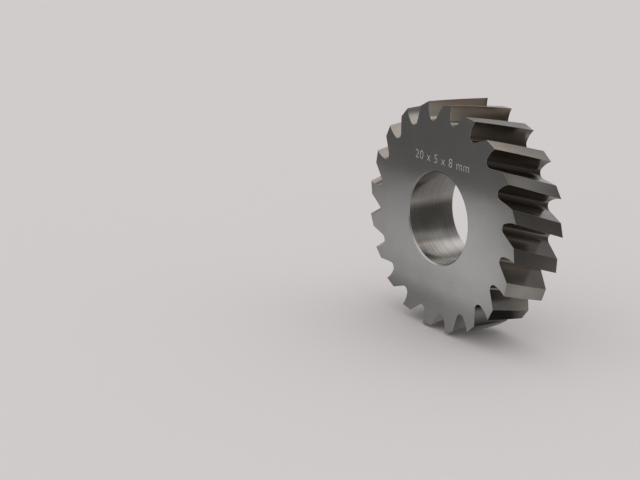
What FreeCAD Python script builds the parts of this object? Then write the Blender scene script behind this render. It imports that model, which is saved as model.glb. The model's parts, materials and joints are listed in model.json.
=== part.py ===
import FreeCAD, Part
import math
import os

# A solid carbide slitting saw: one disc with helical teeth round its rim and a plain bore.
# The spin axis is Y, the front face looks towards -Y, and the origin is the bore's centre.

# Driving dimensions, in millimetres and degrees
outer_diameter = 20.0
width = 5.0
bore_diameter = 8.0
bore_chamfer = 0.12
tooth_count = 20
tooth_depth = 1.66
rake_angle = 15.0
rake_radius = 2.5
gullet_radius = 0.48
land_width = 1.20
relief_angle = 16.0
helix_angle = 19.0

# Values that follow from them
outer_radius = outer_diameter / 2
bore_radius = bore_diameter / 2
front = -width / 2
back = width / 2
pitch_angle = 360.0 / tooth_count
lead = math.pi * outer_diameter / math.tan(math.radians(helix_angle))
first_tip_angle = pitch_angle / 2


def tooth_point(tip_angle, ahead, radial):
    """A point of the front face, from its place ahead of a tip and its height along the tip's radius."""
    turn = math.radians(tip_angle)
    x = ahead * math.cos(turn) - radial * math.sin(turn)
    z = ahead * math.sin(turn) + radial * math.cos(turn)
    return FreeCAD.Vector(x, front, z)


def land_corner():
    """The rear edge of the land behind a tip, as (ahead, radial)."""
    relief = math.radians(relief_angle)
    return -land_width * math.cos(relief), outer_radius - land_width * math.sin(relief)


def next_land_corner():
    """The rear edge of the land on the tooth ahead, in this tooth's own directions."""
    ahead, radial = land_corner()
    step = math.radians(pitch_angle)
    return (
        ahead * math.cos(step) + radial * math.sin(step),
        radial * math.cos(step) - ahead * math.sin(step),
    )


def arc_point(centre, radius, angle):
    """A point of an arc of the section, with the angle measured from the ahead direction."""
    ahead, radial = centre
    turn = math.radians(angle)
    return ahead + radius * math.cos(turn), radial + radius * math.sin(turn)


def rake_centre():
    """The centre of the hollow rake face, whose slope at the tip is the rake angle."""
    return arc_point((0, outer_radius), rake_radius, -rake_angle)


def rake_end_angle():
    """Where the rake face runs smoothly into the gullet's tighter arc, which touches the root circle."""
    drop = tooth_depth - gullet_radius - rake_radius * math.sin(math.radians(rake_angle))
    return 180.0 + math.degrees(math.asin(drop / (rake_radius - gullet_radius)))


def gullet_centre():
    """The centre of the gullet's arc."""
    return arc_point(rake_centre(), rake_radius - gullet_radius, rake_end_angle())


def clearance_slope():
    """The slope of the straight back of a tooth, which runs off the gullet's arc up to the land."""
    centre_ahead, centre_radial = gullet_centre()
    corner_ahead, corner_radial = next_land_corner()
    reach_ahead = corner_ahead - centre_ahead
    reach_radial = corner_radial - centre_radial
    middle = math.degrees(math.atan2(reach_radial, reach_ahead))
    return middle + math.degrees(math.asin(gullet_radius / math.hypot(reach_ahead, reach_radial)))


def arc_edge(tip_angle, centre, radius, start, end):
    """An arc of the section on the front face, between two angles."""
    angles = (start, (start + end) / 2, end)
    points = [tooth_point(tip_angle, *arc_point(centre, radius, angle)) for angle in angles]
    return Part.Arc(*points).toShape()


def tooth_edges(tip_angle):
    """Land, rake face, gullet and the back of the tooth ahead, in the order they follow clockwise."""
    rake_end = rake_end_angle()
    gullet_end = 270.0 + clearance_slope()
    corner = tooth_point(tip_angle, *land_corner())
    tip = tooth_point(tip_angle, 0, outer_radius)
    clearance_foot = tooth_point(tip_angle, *arc_point(gullet_centre(), gullet_radius, gullet_end))
    next_corner = tooth_point(tip_angle, *next_land_corner())
    return [
        Part.makeLine(corner, tip),
        arc_edge(tip_angle, rake_centre(), rake_radius, 180.0 - rake_angle, rake_end),
        arc_edge(tip_angle, gullet_centre(), gullet_radius, rake_end, gullet_end),
        Part.makeLine(clearance_foot, next_corner),
    ]


def rim_outline():
    """The toothed outline of the front face, as one closed wire."""
    edges = []
    for tooth in range(tooth_count):
        edges += tooth_edges(first_tip_angle - tooth * pitch_angle)
    return Part.Wire(edges)


def toothed_disc():
    """The outline carried from the front face to the back one, turning with the helix."""
    spine = Part.Wire([Part.makeLine(FreeCAD.Vector(0, front, 0), FreeCAD.Vector(0, back, 0))])
    helix = Part.makeHelix(lead, width, outer_radius)
    helix.rotate(FreeCAD.Vector(0, 0, 0), FreeCAD.Vector(1, 0, 0), -90)
    helix.translate(FreeCAD.Vector(0, front, 0))
    sweep = Part.BRepOffsetAPI.MakePipeShell(spine)
    sweep.setAuxiliarySpine(helix, True, 0)
    sweep.add(rim_outline())
    sweep.build()
    sweep.makeSolid()
    return sweep.shape()


def bore_cutter():
    """The bore with its two chamfers, as a solid turned about the spin axis."""
    mouth_radius = bore_radius + bore_chamfer
    section = Part.makePolygon([
        FreeCAD.Vector(0, front, 0),
        FreeCAD.Vector(mouth_radius, front, 0),
        FreeCAD.Vector(bore_radius, front + bore_chamfer, 0),
        FreeCAD.Vector(bore_radius, back - bore_chamfer, 0),
        FreeCAD.Vector(mouth_radius, back, 0),
        FreeCAD.Vector(0, back, 0),
        FreeCAD.Vector(0, front, 0),
    ])
    return Part.Face(section).revolve(FreeCAD.Vector(0, 0, 0), FreeCAD.Vector(0, 1, 0), 360)


def slitting_saw():
    """The whole saw, as one solid."""
    return toothed_disc().cut(bore_cutter())


os.makedirs("parts", exist_ok=True)
saw = slitting_saw()
saw.exportStep("parts/slitting_saw.step")
print("slitting_saw", "valid", saw.isValid(), "solids", len(saw.Solids), "volume mm3", round(saw.Volume, 3))
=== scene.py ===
import json
import math
import bpy
from mathutils import Matrix, Vector
from mathutils.geometry import tessellate_polygon


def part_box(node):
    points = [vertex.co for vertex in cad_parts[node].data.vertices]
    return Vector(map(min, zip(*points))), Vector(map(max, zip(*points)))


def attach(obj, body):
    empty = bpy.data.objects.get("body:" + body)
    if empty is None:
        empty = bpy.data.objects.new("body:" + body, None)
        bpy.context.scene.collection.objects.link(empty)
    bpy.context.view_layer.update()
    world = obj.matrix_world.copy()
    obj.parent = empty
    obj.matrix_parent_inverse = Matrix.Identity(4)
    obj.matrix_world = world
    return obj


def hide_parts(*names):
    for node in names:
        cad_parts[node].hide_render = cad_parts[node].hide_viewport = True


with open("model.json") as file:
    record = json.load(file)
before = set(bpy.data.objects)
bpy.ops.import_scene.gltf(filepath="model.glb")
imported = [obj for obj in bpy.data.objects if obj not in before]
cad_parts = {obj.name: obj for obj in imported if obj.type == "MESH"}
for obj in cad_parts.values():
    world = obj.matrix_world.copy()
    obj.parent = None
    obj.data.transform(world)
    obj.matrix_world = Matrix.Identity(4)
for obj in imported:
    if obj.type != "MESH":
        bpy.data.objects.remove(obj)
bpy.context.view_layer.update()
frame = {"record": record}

# Sizes of the saw, in metres and degrees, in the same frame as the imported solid
MM = 0.001
low_corner, high_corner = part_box("slitting_saw")
bore_mount = next(mount for mount in frame["record"]["mounts"] if mount["name"] == "bore")
front = low_corner[1]
back = high_corner[1]
width = back - front
outer_radius = 10.0 * MM
bore_radius = bore_mount["dims"]["r_mm"] * MM
bore_chamfer = 0.12 * MM
tooth_count = 20
tooth_depth = 1.66 * MM
rake_angle = math.radians(15.0)
rake_radius = 2.5 * MM
gullet_radius = 0.48 * MM
land_width = 1.20 * MM
relief_angle = math.radians(16.0)
helix_angle = math.radians(19.0)
pitch_angle = 2 * math.pi / tooth_count
first_tip_angle = pitch_angle / 2
twist = width * math.tan(helix_angle) / outer_radius

# The honed cutting edges and the light break round both faces, too small to be in the solid
edge_hone = 0.012 * MM
face_break = 0.008 * MM

# How finely the surfaces are divided
land_steps = 4
rake_steps = 10
gullet_steps = 16
flank_steps = 6
helix_steps = 14
bore_steps = 160

# Zones of the surface, one material each
ZONES = ["face", "flank", "flute", "bore", "edge"]
FACE, FLANK, FLUTE, BORE, EDGE = range(len(ZONES))

# How each zone is ground: its two tones, its roughness, and its scratches' scale and depth in metres
FINISHES = {
    "face": {
        "dark": (0.46, 0.46, 0.455),
        "light": (0.54, 0.535, 0.53),
        "roughness": 0.13,
        "scratch_scale": (0.8, 7.0, 1.0),
        "scratch_depth": 3e-8,
    },
    "flank": {
        "dark": (0.40, 0.39, 0.38),
        "light": (0.54, 0.53, 0.52),
        "roughness": 0.20,
        "scratch_scale": (0.4, 9.0, 1.0),
        "scratch_depth": 3e-7,
    },
    "flute": {
        "dark": (0.31, 0.28, 0.255),
        "light": (0.43, 0.40, 0.37),
        "roughness": 0.17,
        "scratch_scale": (0.4, 9.0, 1.0),
        "scratch_depth": 5e-7,
    },
    "bore": {
        "dark": (0.32, 0.31, 0.30),
        "light": (0.64, 0.63, 0.62),
        "roughness": 0.15,
        "scratch_scale": (0.10, 5.5, 1.0),
        "scratch_depth": 5e-6,
    },
    "edge": {
        "dark": (0.40, 0.395, 0.39),
        "light": (0.50, 0.495, 0.49),
        "roughness": 0.32,
        "scratch_scale": (3.0, 3.0, 1.0),
        "scratch_depth": 1e-7,
    },
}


def land_corner():
    """The rear edge of the land behind a tip, as (ahead, radial)."""
    return Vector((-land_width * math.cos(relief_angle), outer_radius - land_width * math.sin(relief_angle)))


def turned(point, angle):
    """A point of the tooth's section turned clockwise about the saw's centre."""
    ahead, radial = point
    return Vector((
        ahead * math.cos(angle) + radial * math.sin(angle),
        radial * math.cos(angle) - ahead * math.sin(angle),
    ))


def arc_point(centre, radius, angle):
    """A point of an arc, with the angle measured from the ahead direction."""
    return centre + radius * Vector((math.cos(angle), math.sin(angle)))


def rake_centre():
    """The centre of the hollow rake face, whose slope at the tip is the rake angle."""
    return arc_point(Vector((0, outer_radius)), rake_radius, -rake_angle)


def rake_end_angle():
    """Where the rake face runs smoothly into the gullet's tighter arc."""
    drop = tooth_depth - gullet_radius - rake_radius * math.sin(rake_angle)
    return math.pi + math.asin(drop / (rake_radius - gullet_radius))


def gullet_centre():
    """The centre of the gullet's arc."""
    return arc_point(rake_centre(), rake_radius - gullet_radius, rake_end_angle())


def gullet_end_angle():
    """Where the gullet's arc runs off into the straight flank."""
    reach = turned(land_corner(), pitch_angle) - gullet_centre()
    slope = math.atan2(reach.y, reach.x) + math.asin(gullet_radius / reach.length)
    return 1.5 * math.pi + slope


def spread(start, end, steps):
    """Points from start towards end, the last one left out."""
    return [start.lerp(end, step / steps) for step in range(steps)]


def arc_stretch(centre, radius, start, end, steps):
    """Points along an arc, the last one left out."""
    return [arc_point(centre, radius, start + (end - start) * step / steps) for step in range(steps)]


def tooth_section():
    """One tooth's section, as (point, zone of the stretch that follows it)."""
    corner = land_corner()
    tip = Vector((0, outer_radius))
    next_corner = turned(corner, pitch_angle)
    rake_start = math.pi - rake_angle + edge_hone / rake_radius
    rake_end = rake_end_angle()
    gullet_end = gullet_end_angle()
    flank_start = arc_point(gullet_centre(), gullet_radius, gullet_end)
    land_start = corner + edge_hone * (tip - corner).normalized()
    land_end = tip + edge_hone * (corner - tip).normalized()
    flank_end = next_corner + edge_hone * (flank_start - next_corner).normalized()
    section = [(point, FLANK) for point in spread(land_start, land_end, land_steps)]
    section.append((land_end, EDGE))
    rake = arc_stretch(rake_centre(), rake_radius, rake_start, rake_end, rake_steps)
    gullet = arc_stretch(gullet_centre(), gullet_radius, rake_end, gullet_end, gullet_steps)
    section += [(point, FLUTE) for point in rake + gullet]
    section += [(point, FLANK) for point in spread(flank_start, flank_end, flank_steps)]
    section.append((flank_end, EDGE))
    return section


def rim_section():
    """The whole toothed outline, clockwise from the front, each point with the zone that follows it."""
    rim = []
    for tooth in range(tooth_count):
        turn = tooth * pitch_angle - first_tip_angle
        rim += [(turned(point, turn), zone) for point, zone in tooth_section()]
    return rim


def drawn_in(points, distance):
    """The closed outline moved into the material by a distance."""
    moved = []
    for index, point in enumerate(points):
        before = (point - points[index - 1]).normalized()
        after = (points[(index + 1) % len(points)] - point).normalized()
        inward_before = Vector((before.y, -before.x))
        inward_after = Vector((after.y, -after.x))
        middle = inward_before + inward_after
        moved.append(point + middle * distance / (1 + inward_before.dot(inward_after)))
    return moved


class Skin:
    """Collects the vertices and faces of one closed skin, with a zone and map coordinates for each face."""

    def __init__(self):
        self.points = []
        self.faces = []
        self.zones = []
        self.maps = []
        self.smooth = []

    def ring(self, outline, y, turn):
        """Adds an outline at depth y, turned clockwise, and returns its vertex numbers."""
        first = len(self.points)
        for point in outline:
            x, z = turned(point, turn)
            self.points.append((x, y, z))
        return list(range(first, len(self.points)))

    def face(self, corners, zone, corner_maps, smooth=False):
        self.faces.append(corners)
        self.zones.append(zone)
        self.maps.append(corner_maps)
        self.smooth.append(smooth)

    def cap(self, outer, inner, facing_front):
        """Fills the flat ring between two outlines."""
        loops = [[Vector(self.points[number]) for number in ring] for ring in (outer, inner)]
        numbers = outer + inner
        for triangle in tessellate_polygon(loops):
            corners = [numbers[place] for place in triangle]
            a, b, c = (Vector(self.points[number]) for number in corners)
            if ((b - a).cross(c - a).y < 0) != facing_front:
                corners.reverse()
            maps = [(self.points[number][0] / MM, self.points[number][2] / MM) for number in corners]
            self.face(corners, FACE, maps)


def sweep_rim(skin, rim):
    """The toothed wall from the front face to the back one, and the two rings where it meets them."""
    outline = [point for point, zone in rim]
    zones = [zone for point, zone in rim]
    inner = drawn_in(outline, face_break)
    rings = [(skin.ring(inner, front, 0), front)]
    for step in range(helix_steps + 1):
        share = step / helix_steps
        y = front + face_break + (width - 2 * face_break) * share
        rings.append((skin.ring(outline, y, twist * (y - front) / width), y))
    rings.append((skin.ring(inner, back, twist), back))
    across = [0.0]
    for index in range(len(outline)):
        length = (outline[(index + 1) % len(outline)] - outline[index]).length
        across.append(across[-1] + length / MM)
    for row in range(len(rings) - 1):
        (near, near_y), (far, far_y) = rings[row], rings[row + 1]
        at_face = row in (0, len(rings) - 2)
        for index, zone in enumerate(zones):
            following = (index + 1) % len(zones)
            corners = [near[index], far[index], far[following], near[following]]
            start, end = across[index], across[index + 1]
            near_map, far_map = near_y / MM, far_y / MM
            maps = [(near_map, start), (far_map, start), (far_map, end), (near_map, end)]
            skin.face(corners, EDGE if at_face else zone, maps, not at_face and zone != EDGE)
    return rings[0][0], rings[-1][0]


def sweep_bore(skin):
    """The bore's wall and its two chamfers, and the two rings where they meet the faces."""
    directions = []
    for step in range(bore_steps):
        angle = 2 * math.pi * step / bore_steps
        directions.append(Vector((math.sin(angle), math.cos(angle))))
    mouth = [(bore_radius + bore_chamfer) * direction for direction in directions]
    wall = [bore_radius * direction for direction in directions]
    rings = [
        skin.ring(mouth, front, 0),
        skin.ring(wall, front + bore_chamfer, 0),
        skin.ring(wall, back - bore_chamfer, 0),
        skin.ring(mouth, back, 0),
    ]
    for row in range(len(rings) - 1):
        near, far = rings[row], rings[row + 1]
        zone = BORE if row == 1 else EDGE
        for index in range(bore_steps):
            following = (index + 1) % bore_steps
            corners = [near[index], near[following], far[following], far[index]]
            start = 2 * math.pi * bore_radius / MM * index / bore_steps
            end = 2 * math.pi * bore_radius / MM * (index + 1) / bore_steps
            near_y, far_y = skin.points[near[0]][1] / MM, skin.points[far[0]][1] / MM
            skin.face(corners, zone, [(start, near_y), (end, near_y), (end, far_y), (start, far_y)], True)
    return rings[0], rings[-1]


def saw_mesh():
    """The saw's closed mesh, with sharp creases between the zones."""
    skin = Skin()
    rim_front, rim_back = sweep_rim(skin, rim_section())
    bore_front, bore_back = sweep_bore(skin)
    skin.cap(rim_front, bore_front, True)
    skin.cap(rim_back, bore_back, False)
    mesh = bpy.data.meshes.new("saw_body")
    mesh.from_pydata(skin.points, [], skin.faces)
    layout = mesh.uv_layers.new(name="ground")
    for polygon, zone, maps, smooth in zip(mesh.polygons, skin.zones, skin.maps, skin.smooth):
        polygon.material_index = zone
        polygon.use_smooth = smooth
        for loop, place in zip(polygon.loop_indices, maps):
            layout.data[loop].uv = place
    crease_zones(mesh)
    return mesh


def crease_zones(mesh):
    """Marks each edge of a flat face or an edge break sharp, so its neighbours keep their own shading."""
    sharp = set()
    for polygon in mesh.polygons:
        if polygon.material_index in (FACE, EDGE):
            sharp.update(polygon.edge_keys)
    for edge in mesh.edges:
        edge.use_edge_sharp = edge.key in sharp


class Nodes:
    """A short way to write a node tree."""

    def __init__(self, tree):
        self.tree = tree
        tree.nodes.clear()

    def add(self, kind, inputs=None, **settings):
        node = self.tree.nodes.new(kind)
        for name, value in settings.items():
            setattr(node, name, value)
        for name, value in (inputs or {}).items():
            socket = node.inputs[name]
            if isinstance(value, bpy.types.NodeSocket):
                self.tree.links.new(value, socket)
            else:
                socket.default_value = value
        return node

    def noise(self, vector, scale, detail, roughness=0.5):
        node = self.add(
            "ShaderNodeTexNoise",
            {"Vector": vector, "Scale": scale, "Detail": detail, "Roughness": roughness},
        )
        return node.outputs["Fac"]

    def stretched(self, vector, scale):
        node = self.add("ShaderNodeMapping", {"Vector": vector, "Scale": scale})
        return node.outputs["Vector"]

    def ranged(self, value, low, high, to_low, to_high, smooth=False):
        kind = "SMOOTHSTEP" if smooth else "LINEAR"
        inputs = {"Value": value, "From Min": low, "From Max": high, "To Min": to_low, "To Max": to_high}
        return self.add("ShaderNodeMapRange", inputs, interpolation_type=kind).outputs["Result"]

    def math(self, operation, first, second):
        return self.add("ShaderNodeMath", {0: first, 1: second}, operation=operation).outputs[0]

    def shared(self, share, first, second):
        """The first value at its share, and the second at the rest."""
        return self.math("ADD", self.math("MULTIPLY", first, share), self.math("MULTIPLY", second, 1 - share))

    def mixed(self, share, first, second):
        node = self.add(
            "ShaderNodeMix",
            {"Factor": share, 6: first, 7: second},
            data_type="RGBA",
        )
        return node.outputs[2]


def ground_carbide(name, dark, light, roughness, scratch_scale, scratch_depth):
    """Ground cemented carbide. Scratches run along the first map direction, as wheel marks do."""
    fine_scale = [2.3 * value for value in scratch_scale]
    material = bpy.data.materials.new(name)
    material.use_nodes = True
    nodes = Nodes(material.node_tree)
    place = nodes.add("ShaderNodeUVMap", uv_map="ground").outputs["UV"]
    scratches = nodes.noise(nodes.stretched(place, scratch_scale), scale=1.0, detail=4.0, roughness=0.65)
    fine = nodes.noise(nodes.stretched(place, fine_scale), scale=1.0, detail=2.0, roughness=0.6)
    clouds = nodes.noise(place, scale=0.35, detail=2.0)
    marks = nodes.shared(0.65, scratches, fine)
    tone = nodes.shared(0.6, marks, clouds)
    colour = nodes.mixed(nodes.ranged(tone, 0.35, 0.65, 0.0, 1.0), (*dark, 1), (*light, 1))
    rough = nodes.ranged(marks, 0.3, 0.7, roughness * 0.85, roughness * 1.2)
    bump = nodes.add("ShaderNodeBump", {"Strength": 1.0, "Distance": scratch_depth, "Height": marks})
    shader = nodes.add(
        "ShaderNodeBsdfPrincipled",
        {"Base Color": colour, "Metallic": 1.0, "Roughness": rough, "Normal": bump.outputs["Normal"]},
    )
    nodes.add("ShaderNodeOutputMaterial", {"Surface": shader.outputs["BSDF"]})
    return material


def etched_mark():
    """The frosted grey of a laser mark."""
    material = bpy.data.materials.new("etched_mark")
    material.use_nodes = True
    nodes = Nodes(material.node_tree)
    place = nodes.add("ShaderNodeTexCoord").outputs["Object"]
    frost = nodes.noise(place, scale=9000.0, detail=3.0)
    lightness = nodes.ranged(frost, 0.35, 0.65, 0.0, 1.0)
    colour = nodes.mixed(lightness, (0.30, 0.30, 0.29, 1), (0.46, 0.46, 0.45, 1))
    shader = nodes.add("ShaderNodeBsdfPrincipled", {"Base Color": colour, "Metallic": 0.0, "Roughness": 0.7})
    nodes.add("ShaderNodeOutputMaterial", {"Surface": shader.outputs["BSDF"]})
    return material


def make_saw():
    """The visible saw in place of the plain solid."""
    saw = bpy.data.objects.new("saw_body", saw_mesh())
    bpy.context.scene.collection.objects.link(saw)
    for zone in ZONES:
        saw.data.materials.append(ground_carbide("carbide_" + zone, **FINISHES[zone]))
    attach(saw, "root")
    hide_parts("slitting_saw")


def make_marking():
    """Plain size numbers, etched between the bore and the teeth of the front face."""
    middle = (0.40 * MM, front, 4.72 * MM)
    lean = math.radians(1.5)
    text = bpy.data.curves.new("size_numbers", "FONT")
    text.body = "20 x 5 x 8 mm"
    text.align_x = "CENTER"
    text.size = 1.10 * MM
    text.space_character = 1.12
    text.offset = -0.015 * MM
    text.extrude = 0.003 * MM
    marking = bpy.data.objects.new("size_numbers", text)
    bpy.context.scene.collection.objects.link(marking)
    marking.location = middle
    marking.rotation_euler = (math.radians(90), lean, 0)
    text.materials.append(etched_mark())
    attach(marking, "root")


def make_floor():
    """The pale floor under the lowest tip, see-through from below."""
    reach = 3.0
    level = low_corner[2]
    mesh = bpy.data.meshes.new("floor")
    mesh.from_pydata(
        [(-reach, -reach, level), (reach, -reach, level), (reach, reach, level), (-reach, reach, level)],
        [],
        [(0, 1, 2, 3)],
    )
    floor = bpy.data.objects.new("floor", mesh)
    bpy.context.scene.collection.objects.link(floor)
    material = bpy.data.materials.new("pale_floor")
    material.use_nodes = True
    nodes = Nodes(material.node_tree)
    matt = nodes.add("ShaderNodeBsdfDiffuse", {"Color": (0.68, 0.645, 0.655, 1)}).outputs[0]
    clear = nodes.add("ShaderNodeBsdfTransparent").outputs[0]
    underside = nodes.add("ShaderNodeNewGeometry").outputs["Backfacing"]
    surface = nodes.add("ShaderNodeMixShader", {0: underside, 1: matt, 2: clear}).outputs[0]
    nodes.add("ShaderNodeOutputMaterial", {"Surface": surface})
    mesh.materials.append(material)


def toward(azimuth, elevation):
    """A unit direction, with azimuth 0 towards the front and 90 towards +X."""
    turn, lift = math.radians(azimuth), math.radians(elevation)
    return Vector((math.sin(turn) * math.cos(lift), -math.cos(turn) * math.cos(lift), math.sin(lift)))


def make_card(name, points, faces, colours):
    """A studio card that only shows in the metal, its glow given at each point."""
    mesh = bpy.data.meshes.new(name)
    mesh.from_pydata(points, [], faces)
    glow = mesh.color_attributes.new("glow", "FLOAT_COLOR", "POINT")
    for place, colour in zip(glow.data, colours):
        place.color = (*colour, 1)
    card = bpy.data.objects.new(name, mesh)
    bpy.context.scene.collection.objects.link(card)
    material = bpy.data.materials.new(name)
    material.use_nodes = True
    material.cycles.emission_sampling = "NONE"
    nodes = Nodes(material.node_tree)
    colour = nodes.add("ShaderNodeAttribute", attribute_name="glow").outputs["Color"]
    shine = nodes.add("ShaderNodeEmission", {"Color": colour, "Strength": 1.0}).outputs[0]
    nodes.add("ShaderNodeOutputMaterial", {"Surface": shine})
    mesh.materials.append(material)
    card.visible_camera = False
    card.visible_diffuse = False
    card.visible_shadow = False


def strip_faces(count):
    """Faces between two rows of points."""
    return [(column, column + 1, count + column + 1, count + column) for column in range(count - 1)]


def grey(level, warmth=0.0):
    """A grey glow, with more red and less blue the warmer it is."""
    return (level * (1 + warmth), level, level * (1 - warmth))


def ramp(value, low, high):
    """A smooth step from 0 at low to 1 at high."""
    share = min(max((value - low) / (high - low), 0.0), 1.0)
    return share * share * (3 - 2 * share)


def upright_card(name, left, right, distance, low, high, left_glow, right_glow):
    """A card standing straight across the view from the front."""
    points = [(left, distance, low), (right, distance, low), (left, distance, high), (right, distance, high)]
    make_card(name, points, strip_faces(2), [left_glow, right_glow] * 2)


def curved_card():
    """A dim wall round the saw's right side, nearly black where it faces the gullets, less so low down."""
    reach = 34 * MM
    low_lift = 0.8

    # The height of each row of points, and whether the lift low down counts there
    rows = [(low_corner[2], 1), (-3 * MM, 1), (2 * MM, 0), (20 * MM, 0)]

    # The glow at each azimuth, in degrees
    glow = {
        64: grey(0.36, 0.05),
        76: grey(0.24, 0.15),
        84: grey(0.18, 0.18),
        92: grey(0.12, 0.20),
        100: grey(0.06, 0.18),
        108: grey(0.045, 0.12),
        122: grey(0.042, 0.10),
        129: grey(0.08, 0.06),
        138: grey(0.12, 0.06),
        150: grey(0.17, 0.05),
        168: grey(0.15, 0.05),
        176: grey(0.25, 0.03),
        188: grey(0.34, 0.02),
    }
    points = []
    colours = []
    for height, low_down in rows:
        for azimuth, colour in glow.items():
            foot = reach * toward(azimuth, 0)
            points.append((foot.x, foot.y, height))
            lift = 1 + low_lift * low_down * ramp(azimuth, 92, 100) * (1 - ramp(azimuth, 117, 131))
            colours.append([lift * share for share in colour])
    faces = []
    for row in range(len(rows) - 1):
        faces += [[row * len(glow) + corner for corner in face] for face in strip_faces(len(glow))]
    make_card("card_right", points, faces, colours)


def overhead_glow(x, y):
    """A bright sheet above the saw, dim towards the right, with a brown beam across it behind the saw."""
    # The dimming to the right starts at the edge, and is drawn out over the saw itself
    spill = ramp(y, -4, 0) * (1 - ramp(y, 2, 4.5))
    edge = max(6 - 0.7 * max(y, 0), 0)
    right = ramp(x, edge, edge + 6 + 10 * spill)
    beam = ramp(y, 1.5, 5.5) * (1 - ramp(y, 13, 19))
    level = 0.97 - 0.61 * right - 0.20 * ramp(x, 10, 26)
    shades = [
        # The beam, darker close to the saw and towards both sides
        beam * (0.38 + 0.14 * (1 - ramp(y, 8, 12)) + 0.22 * right + 0.42 * ramp(-x, 3, 15)),
        # A dark core in the beam, behind the saw on the right
        0.60 * ramp(x, 4, 7) * (1 - ramp(x, 11, 15)) * ramp(y, 4, 6) * (1 - ramp(y, 10, 13)),
        # A dark pool further to the right
        0.40 * ramp(x, 14, 22) * ramp(y, 6, 12) * (1 - ramp(y, 16, 24)),
        # The left, behind the saw
        0.60 * ramp(-x, 4, 22) * ramp(y, 12, 18),
        # Two steps further behind
        0.30 * ramp(y, 19, 27) + 0.17 * ramp(y, 34, 44),
        # The right, far in front
        0.65 * ramp(x, 0, 10) * ramp(-y, 28, 38),
    ]
    for shade in shades:
        level *= 1 - shade
    return grey(level, 0.02 + 0.16 * beam)


def rear_floor_glow(x, y):
    """The table behind the saw, darker to the right and close to the saw, with a bright patch beside it."""
    right = ramp(x, 8, 22)
    level = 0.34 - right * (0.26 - 0.06 * ramp(y, 12, 18))
    level += 0.12 * ramp(x, 9, 12) * (1 - ramp(x, 14, 18)) * (1 - ramp(y, 8, 12))
    level *= 1 - 0.40 * (1 - ramp(x, 7, 11)) * (1 - ramp(y, 7, 14))
    level *= 1 - 0.30 * (1 - ramp(x, -9, -3)) * (1 - ramp(y, 8, 14))
    black = ramp(x, 2, 4) * (1 - ramp(y, 3, 5))
    return grey(level * (1 - 0.93 * black), 0.05 + 0.05 * right)


def front_floor_glow(x, y):
    """The table in front, brightest along a slanting stripe and dimmer close to the saw."""
    from_stripe = x - 1.17 * y - 8
    level = 0.63 - 0.20 * ramp(-y, 19, 45) - 0.09 * ramp(y, -16, -12) - 0.20 * ramp(y, -10.5, -8)
    level += 0.0095 * min(from_stripe, 0)
    return grey(max(level - 0.25 * ramp(from_stripe, 1, 8), 0.22), 0.02)


def field_card(name, left, right, near, far, height, glow):
    """A level card with sides in millimetres, whose glow is a function of the place on it."""
    steps = 24
    across = [left + (right - left) * step / steps for step in range(steps + 1)]
    along = [near + (far - near) * step / steps for step in range(steps + 1)]
    points = [(x * MM, y * MM, height) for y in along for x in across]
    colours = [glow(x, y) for y in along for x in across]
    faces = []
    for row in range(steps):
        for column in range(steps):
            first = row * (steps + 1) + column
            faces.append((first, first + 1, first + steps + 2, first + steps + 1))
    make_card(name, points, faces, colours)


def make_cards():
    """What the metal reflects round the saw, such as the dark front that shades the face's upper half."""
    table = low_corner[2]
    just_above_table = table + 0.02 * MM
    upright_card(
        "card_front",
        left=-100 * MM,
        right=-8 * MM,
        distance=-40 * MM,
        low=table,
        high=60 * MM,
        left_glow=grey(0.105, 0.01),
        right_glow=grey(0.16, 0.02),
    )
    upright_card(
        "card_back",
        left=-20 * MM,
        right=0,
        distance=11 * MM,
        low=12.5 * MM,
        high=17 * MM,
        left_glow=grey(0.38, 0.02),
        right_glow=grey(0.38, 0.02),
    )
    curved_card()
    field_card("card_above", -34, 46, -40, 52, 20 * MM, overhead_glow)
    field_card("card_floor_rear", -12, 46, -3, 46, just_above_table, rear_floor_glow)
    field_card("card_floor_front", -62, 12, -39.5, -3, just_above_table, front_floor_glow)


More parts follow.
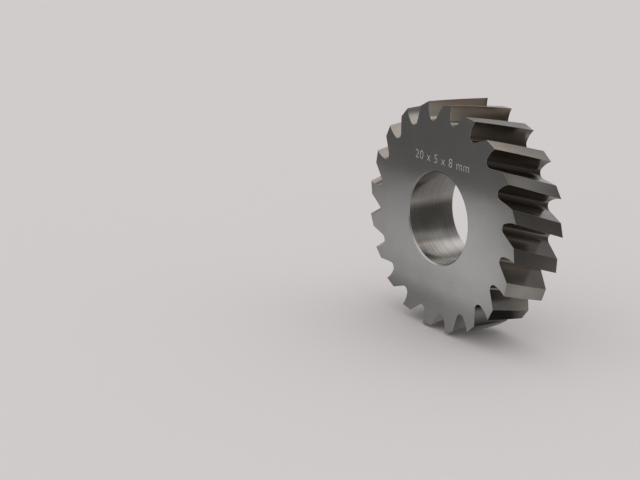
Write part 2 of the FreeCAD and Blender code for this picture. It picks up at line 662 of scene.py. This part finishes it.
def make_world():
    """Soft light from above, from high in front and from behind on the left, and a dim side on the right."""
    top_start = math.sin(math.radians(36))
    top_full = math.sin(math.radians(50))
    world = bpy.data.worlds.new("studio")
    bpy.context.scene.world = world
    world.use_nodes = True
    nodes = Nodes(world.node_tree)
    direction = nodes.add("ShaderNodeTexCoord").outputs["Generated"]

    def leaning(axis):
        node = nodes.add("ShaderNodeVectorMath", {0: direction, 1: axis}, operation="DOT_PRODUCT")
        return node.outputs["Value"]

    wall = nodes.ranged(leaning(toward(-130, 10)), 0.1, 0.9, 0.0, 1.0, smooth=True)
    top = nodes.ranged(leaning((0, 0, 1)), top_start, top_full, 0.0, 1.0, smooth=True)
    colour = nodes.mixed(wall, (0.13, 0.12, 0.11, 1), (0.50, 0.485, 0.475, 1))
    colour = nodes.mixed(top, colour, (0.98, 0.95, 0.92, 1))
    front_light = nodes.ranged(leaning(toward(5, 32)), 0.90, 0.96, 0.0, 1.0, smooth=True)
    colour = nodes.mixed(front_light, colour, (0.98, 0.96, 0.94, 1))
    rays = nodes.add("ShaderNodeLightPath").outputs
    colour = nodes.mixed(rays["Is Diffuse Ray"], colour, (1.0, 1.0, 1.0, 1))
    colour = nodes.mixed(rays["Is Camera Ray"], colour, (0.635, 0.60, 0.61, 1))
    glow = nodes.add("ShaderNodeBackground", {"Color": colour, "Strength": 1.0})
    nodes.add("ShaderNodeOutputWorld", {"Surface": glow.outputs[0]})


def make_camera():
    """The photograph's view: its place, its line of sight, its roll and its lens."""
    data = bpy.data.cameras.new("camera")
    camera = bpy.data.objects.new("camera", data)
    bpy.context.scene.collection.objects.link(camera)
    sight = Vector((-0.81907, 0.51380, -0.25521))
    roll = math.radians(0.228)
    place = Vector((72.010, -59.432, 22.155)) * MM
    camera.matrix_world = (
        Matrix.Translation(place)
        @ sight.to_track_quat("-Z", "Y").to_matrix().to_4x4()
        @ Matrix.Rotation(roll, 4, "Z")
    )
    data.sensor_width = 36.0
    data.lens = 61.86
    data.clip_start = 1 * MM
    data.clip_end = 20.0
    bpy.context.scene.camera = camera


make_saw()
make_marking()
make_floor()
make_cards()
make_world()
make_camera()
bpy.context.scene.view_settings.view_transform = "Standard"
